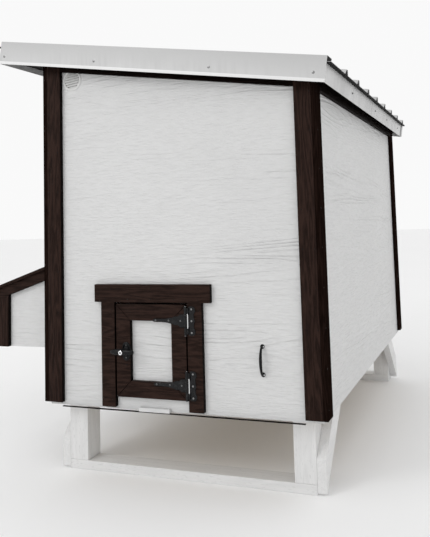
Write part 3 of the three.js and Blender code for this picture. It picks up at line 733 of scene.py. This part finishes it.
def hinge(door, place, height):
    at = door_matrix(door, "hinge") @ Matrix.Translation((0, 0, height))
    half, middle = 2.27 * INCH, 0.95 * INCH
    strap = plate(mirrored_outline(STRAP_HALF, -1), 0.0026)
    merge(strap, knuckle(-middle, middle))
    merge(strap, neck(-0.32 * INCH, -0.0034, -middle, middle))
    piece = place_piece(strap, f"{door}_hinge_strap_{place}_fine", at, IRON, f"{door}_door")
    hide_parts(f"{door}_hinge_strap_{place}")
    leaf = plate(mirrored_outline(LEAF_HALF, 1), 0.0026)
    for z0, z1 in ((-half, -middle - 0.0008), (middle + 0.0008, half)):
        merge(leaf, knuckle(z0, z1))
        merge(leaf, neck(0.0034, 0.5 * INCH, max(z0, -2.0 * INCH), min(z1, 2.0 * INCH)))
    piece = place_piece(leaf, f"{door}_hinge_leaf_{place}_fine", at, IRON, "coop")
    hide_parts(f"{door}_hinge_leaf_{place}")
    pin = turned([(0, -half - 0.0012), (0.0036, -half - 0.0008), (0.0036, -half - 0.0001), (0.0024, -half),
                  (0.0024, half), (0.0036, half + 0.0001), (0.0036, half + 0.0008), (0, half + 0.0012)], 16)
    place_piece(pin, f"{door}_hinge_pin_{place}", at, BRIGHT, "coop")
    rod, reach = 0.115 * INCH, 1.15 * INCH
    edge = turned([(0, -reach), (rod * 0.7, -reach), (rod, -reach + 0.001), (rod, reach - 0.001),
                   (rod * 0.7, reach), (0, reach)], 16)
    bmesh.ops.translate(edge, vec=(0.36 * INCH, 0.06 * INCH, 0), verts=edge.verts)
    place_piece(edge, f"{door}_hinge_rod_{place}", at, BRIGHT, "coop")
    front = FACE - GAP - 0.0026
    toward = at.to_3x3() @ Vector((0, -1, 0))
    for body, spots, label, metal in (("coop", [(1.0, 1.82), (0.98, 0), (1.0, -1.82)], "leaf", SCREW),
                                      (f"{door}_door", [(-0.95, 0), (-3.05, 0), (-5.4, 0)], "strap", DULL)):
        places = [(at @ Vector((x * INCH, front, z * INCH)), toward) for x, z in spots]
        fastener_set(f"{door}_hinge_screws_{label}_{place}", lambda: screw_head(0.0042, 0.0022), places,
                     metal, body)


def squared(angle, fullness=0.76):
    """A point on an oval fuller than an ellipse, one unit across each way."""
    across, up = math.cos(angle), math.sin(angle)
    return math.copysign(abs(across) ** fullness, across), math.copysign(abs(up) ** fullness, up)


def escutcheon():
    """An oval plate that swells into a low dome round the handle's neck."""
    bm = bmesh.new()
    sides = 40
    rings = []
    narrow, tall = 0.75 * INCH, 1.45 * INCH
    for scale, out in ((1.0, 0), (1.0, 0.003), (0.96, 0.0046), (0.88, 0.0052), (0.8, 0.0046), (0.76, 0.0034),
                       (0.7, 0.0034), (0.62, 0.0072), (0.52, 0.012), (0.46, 0.015)):
        a = narrow * scale
        stretch = max(0.0, (scale - 0.46) / 0.54)
        b = a + (tall - narrow) * stretch
        ring = []
        for i in range(sides):
            across, up = squared(2 * math.pi * i / sides)
            ring.append(bm.verts.new((a * across, FACE - GAP - out, b * up - 0.12 * INCH)))
        rings.append(ring)
    for lower, upper in zip(rings, rings[1:]):
        for i in range(sides):
            j = (i + 1) % sides
            bm.faces.new((lower[i], lower[j], upper[j], upper[i]))
    bm.faces.new(rings[0])
    bm.faces.new(rings[-1])
    return bm


def handle_bar():
    """The cross bar: a spindle, fullest round the lock, with blunt rounded ends."""
    half = 2.2 * INCH
    steps = 28
    profile = [(0, -half)]
    for i in range(steps + 1):
        t = -1 + 2 * i / steps
        end = math.sqrt(max(0.0, 1 - abs(t) ** 14))
        profile.append(((0.0072 + 0.0062 * (math.cos(math.pi * t / 2) ** 0.9)) * max(end, 0.05), t * half))
    profile.append((0, half))
    bm = turned(profile, 28)
    bmesh.ops.transform(bm, matrix=Matrix.Rotation(math.pi / 2, 4, "Y"), verts=bm.verts)
    bmesh.ops.scale(bm, vec=(1, 0.85, 1), verts=bm.verts)
    return bm


def along_y(bm):
    """Turns a thing drawn up the z axis to run out of the door, towards -y."""
    bmesh.ops.transform(bm, matrix=Matrix.Rotation(math.pi / 2, 4, "X"), verts=bm.verts)
    return bm


def latch(door, cam_length):
    at = door_matrix(door, "latch")
    body = f"{door}_latch"
    base = place_piece(escutcheon(), f"{door}_latch_escutcheon", at, CAST, f"{door}_door")
    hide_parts(f"{door}_latch_plate")
    bar_out = 1.385 * INCH - FACE
    bm = handle_bar()
    bmesh.ops.translate(bm, vec=(0, -bar_out, 0), verts=bm.verts)
    merge(bm, along_y(turned([(0, -FACE + 0.016), (0.0112, -FACE + 0.016), (0.0108, 0.018),
                              (0.0098, 0.03), (0.0102, bar_out - 0.006), (0.0125, bar_out + 0.004),
                              (0.0125, bar_out + 0.0105), (0.0108, bar_out + 0.012),
                              (0, bar_out + 0.012)], 28)))
    inner = FACE + TRIM + 0.5 * INCH
    merge(bm, along_y(turned([(0, -inner - 0.0068), (0.005, -inner - 0.0068), (0.005, -FACE + 0.016),
                              (0, -FACE + 0.016)], 20)))
    merge(bm, block((-0.008, inner + 0.0016, -cam_length), (0.008, inner + 0.005, 0.008), 0.0008))
    handle = place_piece(bm, f"{door}_t_handle", at, CAST, body)
    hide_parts(f"{door}_latch_handle")
    face = bar_out + 0.012
    barrel = along_y(turned([(0, face - 0.004), (0.0088, face - 0.004), (0.0088, face + 0.0006),
                             (0.0078, face + 0.0012), (0.0066, face + 0.0008),
                             (0.0062, face + 0.0002), (0.0052, face + 0.0008),
                             (0.0036, face + 0.0009), (0.0032, face - 0.0006),
                             (0, face - 0.0006)], 28))
    place_piece(barrel, f"{door}_lock_barrel", at, CHROME, body)
    keyway = along_y(turned([(0, face - 0.0005), (0.0031, face - 0.0005), (0.0028, face + 0.0003),
                             (0.0009, face + 0.0003), (0.0007, face - 0.0002), (0, face - 0.0002)], 20))
    place_piece(keyway, f"{door}_lock_keyway", at, IRON, body)
    spots = [(at @ Vector((0, FACE - GAP - 0.0026, z * INCH)), at.to_3x3() @ Vector((0, -1, 0)))
             for z in (-1.1, 0.86)]
    fastener_set(f"{door}_latch_screws", lambda: screw_head(0.0036, 0.0028), spots, DULL, f"{door}_door")


def mitred_boards(door):
    """Four boards with mitred ends in place of the door frame's single solid."""
    lo, hi = local_box(door, f"{door}_door_frame")
    width = 2.6 * INCH
    seam = 0.0009
    corners = [(lo.x, lo.z), (hi.x, lo.z), (hi.x, hi.z), (lo.x, hi.z)]
    inner = [(lo.x + width, lo.z + width), (hi.x - width, lo.z + width),
             (hi.x - width, hi.z - width), (lo.x + width, hi.z - width)]
    names = ("rail_low", "stile_hinge", "rail_high", "stile_latch")
    for i, name in enumerate(names):
        j = (i + 1) % 4
        a, b, c, d = (Vector(p) for p in (corners[i], corners[j], inner[j], inner[i]))
        along = (b - a).normalized() * seam * 1.5
        points = [tuple(p) for p in (a + along, b - along, c - along, d + along)]
        bm = outline_solid(points, TRIM - GAP)
        bevel_sharp(bm, 0.0012)
        bmesh.ops.translate(bm, vec=(0, FACE, 0), verts=bm.verts)
        axis = "x" if door == "pop" else "y"
        place_piece(bm, f"{door}_{name}", door_matrix(door, "hinge"), BROWN[axis], f"{door}_door",
                                40)
    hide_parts(f"{door}_door_frame")


def local_box(door, node):
    """A node's box in the door's own drawing axes."""
    back = door_matrix(door, "hinge").inverted()
    lo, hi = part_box(node)
    a, b = back @ lo, back @ hi
    return (Vector(min(p, q) for p, q in zip(a, b)), Vector(max(p, q) for p, q in zip(a, b)))


def opening_shade_skin(door, depth):
    """Thin dark skin on the edges of the wall's opening behind the door's joint, standing in for the shade
    there, in the shade-darkened trim tone.
    """
    lo, hi = local_box(door, f"{door}_door_frame")
    left, right = lo.x - 0.3 * INCH, hi.x + 0.098 * INCH
    bottom, top = lo.z - 0.2 * INCH, hi.z + 0.2 * INCH
    near, far = FACE + TRIM, FACE + TRIM + depth
    skin = 0.0012
    bm = bmesh.new()
    for x0, x1, z0, z1 in ((left + GAP, left + skin, bottom, top), (right - skin, right - GAP, bottom, top),
                           (left, right, bottom + GAP, bottom + skin), (left, right, top - skin, top - GAP)):
        merge(bm, block((x0, near, z0), (x1, far, z1), 0.0002))
    place_piece(bm, f"{door}_opening_shade_skin", door_matrix(door, "hinge"), SHADED["x"], "coop")


def stray_screw():
    """The one dark screw below the pop door's latch."""
    at = door_matrix("pop", "latch") @ Vector((0, FACE, -2.29 * INCH))
    fastener_set("pop_stile_screw", lambda: screw_head(0.0028, 0.0012), [(at, Vector((0, -1, 0)))], IRON,
                 "pop_door")


stray_screw()
for door, cam in (("pop", 3.1 * INCH), ("access", 2.6 * INCH)):
    mitred_boards(door)
    latch(door, cam)
    opening_shade_skin(door, 0.5 * INCH)
hinge("pop", "upper", 4.93 * INCH)
hinge("pop", "lower", -5.05 * INCH)
hinge("access", "lower", 15 * INCH)
hinge("access", "upper", -15 * INCH)


# ---- Bow handle ----

def bow_handle():
    lo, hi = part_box("pull_handle")
    x, wall = (lo.x + hi.x) / 2, hi.y
    top, bottom = hi.z - 0.009, lo.z + 0.009
    middle, reach = (top + bottom) / 2, 1.02 * INCH
    bm = bmesh.new()
    steps, sides = 44, 16
    rings = []
    for i in range(steps + 1):
        t = math.pi * i / steps
        out = reach * math.sin(t) ** 0.62
        centre = Vector((x, wall - out, middle + (top - middle) * math.cos(t) * (1 - 0.06 * math.sin(t))))
        ahead = math.pi * min(i + 0.5, steps) / steps
        behind = math.pi * max(i - 0.5, 0) / steps
        tangent = Vector((0, -reach * (math.sin(ahead) ** 0.62 - math.sin(behind) ** 0.62),
                          (top - middle) * (math.cos(ahead) - math.cos(behind)))).normalized()
        across = tangent.cross(Vector((1, 0, 0))).normalized()
        thick = 0.0044 + 0.0016 * math.sin(t) ** 3
        ring = []
        for k in range(sides):
            angle = 2 * math.pi * k / sides
            ring.append(bm.verts.new(centre + Vector((1, 0, 0)) * thick * math.cos(angle)
                                     + across * thick * math.sin(angle)))
        rings.append(ring)
    for lower, upper in zip(rings, rings[1:]):
        for k in range(sides):
            n = (k + 1) % sides
            bm.faces.new((lower[k], lower[n], upper[n], upper[k]))
    bm.faces.new(rings[0])
    bm.faces.new(rings[-1])
    for z in (top, bottom):
        foot = turned([(0, 0), (0.0088, 0), (0.0088, 0.0016), (0.0078, 0.003),
                       (0.0052, 0.0042), (0, 0.0046)], 24)
        merge(bm, foot, facing((x, wall, z), (0, -1, 0)))
    piece = link_piece("bow_handle", finish_mesh(bm, "bow_handle", 50), CAST, "coop")
    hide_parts("pull_handle")
    spots = [(Vector((x + 0.0045, wall - 0.0038, z)), (0.3, -1, 0)) for z in (top, bottom)]
    fastener_set("bow_handle_screws", lambda: screw_head(0.003, 0.0018), spots, BRIGHT, "coop")


bow_handle()


# ---- Louvred vents ----

def vent(node, facing_sign):
    lo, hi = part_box(node)
    centre = (lo + hi) / 2
    radius = (hi.x - lo.x) / 2
    wall = hi.y - 0.0127 if facing_sign < 0 else lo.y + 0.0127
    bm = turned([(radius * 0.76, -0.004), (radius, 0.0), (radius, 0.0014), (radius * 0.97, 0.0028),
                 (radius * 0.9, 0.0040), (radius * 0.84, 0.0040), (radius * 0.8, 0.0026),
                 (radius * 0.78, -0.004),
                 (radius * 0.76, -0.004)], 48)
    slats = 7
    inner = radius * 0.785
    pitch = 2 * inner / slats
    for i in range(slats):
        v = -inner + (i + 0.5) * pitch
        half = math.sqrt(max(inner ** 2 - v ** 2, 0)) * 0.995
        slat = bmesh.new()
        bmesh.ops.create_cube(slat, size=1)
        bmesh.ops.scale(slat, vec=(2 * half, pitch * 1.12, 0.0011), verts=slat.verts)
        bevel_sharp(slat, 0.0003, 1)
        tilt = Matrix.Rotation(math.radians(-24), 4, "X")
        merge(bm, slat, Matrix.Translation((0, v, -0.0005)) @ tilt)
    spin = Matrix.Rotation(math.radians(6), 4, "Z")
    upright = Matrix.Rotation(math.pi / 2, 4, "X")
    if facing_sign > 0:
        upright = Matrix.Rotation(math.pi, 4, "Z") @ upright
    at = Matrix.Translation((centre.x, wall, centre.z)) @ upright @ spin
    piece = place_piece(bm, f"{node}_louvres", at, PLASTIC, "coop", 30)
    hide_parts(node)


vent("vent_front", -1)
vent("vent_back", 1)


# ---- Roof, drawn on its own tilted axes ----

TILT = math.atan(SLOPE)
DOWN = Vector((math.cos(TILT), 0, -math.sin(TILT)))
OUT = Vector((math.sin(TILT), 0, math.cos(TILT)))
ROOF_BASE = Vector((MIDDLE_X, 0, underside(MIDDLE_X) + GAP - INCH / math.cos(TILT)))


def roof_point(u, y, w):
    """A point u inches down the slope from the middle, at y, and w inches off the fascia's foot."""
    return ROOF_BASE + DOWN * u * INCH + OUT * w * INCH + Vector((0, y, 0))


RAKE_FACE = 4.0 * INCH


def flashing_steel_painted_light():
    """Coated sheet with dirt runs down its face, painted darker towards the flange as painted shade and much
    lighter on the hem at its foot as a painted highlight.
    """
    colour = (0.53, 0.53, 0.529)
    nodes = Nodes("flashing_steel", colour, 0.34, specular=0.4)
    height = nodes.tree.nodes.new("ShaderNodeVectorMath")
    height.operation = "DOT_PRODUCT"
    height.inputs[1].default_value = OUT
    nodes.link(nodes.place, height.inputs[0])
    up = nodes.math("SUBTRACT", height.outputs["Value"], ROOF_BASE.dot(OUT))
    soil = nodes.noise(nodes.place, 5.5, 5, 0.6)
    streak = nodes.noise(nodes.stretched((60, 60, 4)), 1, 3)
    # Painted shade: the face darkens towards the flange above it.
    face = nodes.blend(nodes.spread(up, 0.015, RAKE_FACE), shade(colour, 1.04), shade(colour, 0.9))
    runs = nodes.spread(nodes.math("MULTIPLY", soil, streak), 0.2, 0.42)
    face = nodes.blend(runs, face, shade(colour, 0.93))
    # Painted highlight: the hem at the foot is painted much lighter.
    nodes.colour(nodes.blend(nodes.spread(up, 0.0118, 0.0135), shade(colour, 1.42), face))
    nodes.bump(nodes.noise(nodes.stretched((1.5, 3.0, 3.0)), 2.2, 1), 0.004, 0.25)
    nodes.gloss(nodes.spread(soil, 0.3, 0.7, 0.3, 0.42))
    return nodes.material


ROOF_TURN = Matrix((DOWN, Vector((0, 1, 0)), OUT)).transposed().to_4x4()
RAKE_FROM, RAKE_TO = -33.01 * INCH, 27.06 * INCH
FLASHING = flashing_steel_painted_light()
SHEET = 0.001


def on_roof(bm, name, material, smooth=30):
    """Links a thing drawn in roof axes: x down the slope, y along the eave, z off the fascia's foot."""
    bmesh.ops.transform(bm, matrix=Matrix.Translation(ROOF_BASE) @ ROOF_TURN, verts=bm.verts)
    return link_piece(name, finish_mesh(bm, name, smooth), material, "coop")


def folded_sheet(line, x0, x1, thick=SHEET):
    """A line in y and z, bent up from sheet and run from x0 to x1."""
    bm = bmesh.new()
    ends = []
    for x in (x0, x1):
        ends.append([bm.verts.new((x, y, z)) for y, z in line])
    for i in range(len(line) - 1):
        bm.faces.new((ends[0][i], ends[0][i + 1], ends[1][i + 1], ends[1][i]))
    bm.normal_update()
    bmesh.ops.solidify(bm, geom=bm.faces[:], thickness=thick)
    return bm


def rake_trim(end):
    """The gable flashing: a tall face, a hem kicked out along its foot and a flange over the ribs."""
    front = end == "front"
    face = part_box("rake_trim_front")[0].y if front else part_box("rake_trim_rear")[1].y
    inward = 1 if front else -1
    line = [(0.0018, 0.0002), (0.0004, 0.0004), (0.0002, 0.0012), (0.0017, 0.0132),
            (0.0017, RAKE_FACE - 0.0022), (0.0032, RAKE_FACE - 0.0008),
            (2.6 * INCH, RAKE_FACE - 0.0008), (2.6 * INCH, RAKE_FACE - 0.007)]
    bm = folded_sheet([(face + inward * y, z) for y, z in line], RAKE_FROM, RAKE_TO, 0.0007)
    for x in (RAKE_FROM, RAKE_TO - 0.0012):
        near, far = sorted((face + inward * 0.0018, face + inward * 0.0028))
        merge(bm, block((x, near, 0.0015), (x + 0.0012, far, 3.0 * INCH), 0.0003))
    piece = on_roof(bm, f"rake_flashing_{end}", FLASHING)
    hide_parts(f"rake_trim_{end}")
    # A black foam strip fills the hollow under the flange, standing in for the shade there.
    inner = sorted((face + inward * 0.012, face + inward * 2.55 * INCH))
    foam = block((RAKE_FROM + 0.004, inner[0], 3.12 * INCH),
                 (RAKE_TO - 0.0006, inner[1], RAKE_FACE - 0.0018), 0.001)
    on_roof(foam, f"rake_shade_strip_{end}", FOAM)


def rear_returns():
    """The rear flashing turns the corner and laps over each eave face."""
    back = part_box("rake_trim_rear")[1].y
    for name, x0, x1 in (("low", RAKE_TO + 0.0015, RAKE_TO + 0.0035),
                         ("high", RAKE_FROM - 0.0035, RAKE_FROM - 0.0015)):
        tab = block((x0, back - 1.75 * INCH, 0.0006), (x1, back - 0.0006, 3.0 * INCH - 0.001), 0.0003)
        on_roof(tab, f"rake_return_{name}", STEEL)


RIB_PITCH, RIB_FOOT, RIB_CROWN, RIB_HEIGHT = 9 * INCH, 1 * INCH, 0.4 * INCH, 0.8 * INCH


def rib_line(k):
    """Where rib number k runs, along y."""
    return FRONT_Y - INCH + RIB_PITCH * k


def rib_closures():
    """Foam under each rib, a little back from both ends of the sheet."""
    base = 3.0 * INCH + 0.0016
    crown = base + RIB_HEIGHT - 0.0022
    bm = bmesh.new()
    for k in range(1, 9):
        y = rib_line(k)
        for x0, x1 in ((RAKE_FROM - 0.012, RAKE_FROM + 0.012), (RAKE_TO - 0.012, RAKE_TO + 0.0145)):
            corners = [(y - RIB_FOOT, base), (y + RIB_FOOT, base), (y + RIB_CROWN, crown),
                       (y - RIB_CROWN, crown)]
            plug = bmesh.new()
            near = [plug.verts.new((x0, a, b)) for a, b in corners]
            far = [plug.verts.new((x1, a, b)) for a, b in corners]
            plug.faces.new(near)
            plug.faces.new(far)
            for i in range(4):
                j = (i + 1) % 4
                plug.faces.new((near[i], near[j], far[j], far[i]))
            merge(bm, plug)
    on_roof(bm, "rib_closures", FOAM)


def eave_shade_strips():
    """Black foam strips under the sheet's overhanging edge along each eave trim, standing in for the shade
    under the overhang.
    """
    for name, x0, x1 in (("low", RAKE_TO - 0.0006, RAKE_TO + 0.0165),
                         ("high", RAKE_FROM - 0.0165, RAKE_FROM + 0.0006)):
        ends = (FRONT_Y - 1.85 * INCH, FRONT_Y + 75.3 * INCH)
        strip = block((x0, ends[0], 3.0 * INCH - 0.0042), (x1, ends[1], 3.0 * INCH + 0.0011), 0.0004)
        on_roof(strip, f"eave_shade_strip_{name}", FOAM)


eave_shade_strips()
for end in ("front", "rear"):
    rake_trim(end)
rear_returns()
rib_closures()


def roof_screws():
    rake_front, rake_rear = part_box("rake_trim_front")[0].y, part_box("rake_trim_rear")[1].y
    eave = [(roof_point(26.97, FRONT_Y + y * INCH, 1.45), DOWN) for y in (16.3, 37.8, 52.0, 68.0)]
    high = [(roof_point(-32.92, FRONT_Y + y * INCH, 1.45), -DOWN) for y in (4, 26, 48, 70)]
    along = (-32.0, -13.2, 8.1, 25.2)
    front = [(roof_point(u, rake_front + 0.0016, 1.35), Vector((0, -1, 0))) for u in along]
    rear = [(roof_point(u, rake_rear - 0.0016, 1.35), Vector((0, 1, 0))) for u in along]
    fastener_set("trim_screws", lambda: washer_screw(0.0064), eave + high, SCREW, "coop")
    fastener_set("gable_trim_screws", lambda: flat_screw(0.0064), front + rear, SCREW, "coop")
    sheet = []
    for k in range(9):
        y = rib_line(k) + 1.6 * INCH
        sheet += [(roof_point(u, y, 3.12), OUT) for u in (-31.5, -22.5, -7.5, 7.5, 25.2)]
    fastener_set("panel_screws", lambda: washer_screw(0.0068), sheet, STEEL, "coop")


roof_screws()


# ---- Nails in the boards ----

def column(x, y, z0, z1, count, normal):
    """Nail heads in a column up a board."""
    return [(Vector((x, y, z0 + (z1 - z0) * i / (count - 1))), normal) for i in range(count)]


def nails():
    spots = []
    for end, side in CORNERS:
        lo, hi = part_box(f"corner_trim_{end}_{side}")
        out = Vector((0, -1, 0)) if end == "front" else Vector((0, 1, 0))
        y = lo.y if end == "front" else hi.y
        sign = 1 if side == "low" else -1
        outer = hi.x if sign > 0 else lo.x
        for inset in (1.05, 2.9):
            spots += column(outer - sign * inset * INCH, y, lo.z + 0.03, hi.z - 0.05, 9, out)
        side_out = Vector((sign, 0, 0))
        for y_side in (lo.y + 0.5 * INCH, hi.y - 0.45 * INCH):
            spots += column(outer, y_side, lo.z + 0.04, hi.z - 0.05, 9, side_out)
    for node, insets in (("pop_jamb_latch", (0.5, 2.05)), ("pop_jamb_hinge", (0.5, 2.05))):
        lo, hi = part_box(node)
        for inset in insets:
            spots += column(lo.x + inset * INCH, lo.y, lo.z + 0.03, hi.z - 0.03, 5, Vector((0, -1, 0)))
    lo, hi = HEADER
    for z in (lo.z + 0.5 * INCH, hi.z - 0.5 * INCH):
        for i in range(5):
            x = lo.x + (hi.x - lo.x) * (i + 0.5) / 5
            spots.append((Vector((x, lo.y, z)), Vector((0, -1, 0))))
    fastener_set("trim_nails", lambda: nail_head(0.0019), spots, IRON, "coop")


nails()


# ---- Nest box lid: the strip hinge along its upper edge ----

def lid_hinge():
    """A row of knuckles and a wall leaf that stay put, and a leaf screwed down along the lid."""
    lo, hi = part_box("nest_lid")
    axis = Vector(JOINTS["nest_lid_hinge"]["pos_m"])
    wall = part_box("wall_tall_side")[0].x
    radius, count, sheet = 0.0032, 19, 0.0014
    start, length = lo.y + 0.02, hi.y - lo.y - 0.04
    centre = Vector((axis.x + radius + 0.0003, 0, axis.z))
    fixed = bmesh.new()
    for k in range(count):
        y0 = start + length * k / count + 0.0004
        y1 = start + length * (k + 1) / count - 0.0004
        merge(fixed, turned([(0, y0), (radius, y0), (radius, y1), (0, y1)], 14),
              Matrix.Translation(centre) @ Matrix.Rotation(-math.pi / 2, 4, "X"))
    end = start + length
    merge(fixed, block((centre.x + radius * 0.6, start, centre.z - sheet / 2),
                       (wall - 0.0005, end, centre.z + sheet / 2), 0.0003))
    merge(fixed, block((wall - 0.0016, start, centre.z), (wall - 0.0003, end, centre.z + 0.028), 0.0003))
    link_piece("lid_hinge_fixed", finish_mesh(fixed, "lid_hinge_fixed", 35), IRON, "coop")
    leaf = block((-0.024, start, 0.0002), (-0.0045, end, 0.0012), 0.0003)
    slope = Matrix.Translation((axis.x, 0, axis.z)) @ Matrix.Rotation(-math.atan(LID_SLOPE), 4, "Y")
    place_piece(leaf, "lid_hinge_leaf", slope, IRON, "nest_lid")


lid_hinge()


# ---- Floor ----

def studio_floor():
    bm = bmesh.new()
    bmesh.ops.create_grid(bm, x_segments=1, y_segments=1, size=30)
    mesh = finish_mesh(bm, "studio_floor")
    floor = bpy.data.objects.new("studio_floor", mesh)
    mesh.materials.append(floor_material())
    bpy.context.scene.collection.objects.link(floor)


studio_floor()
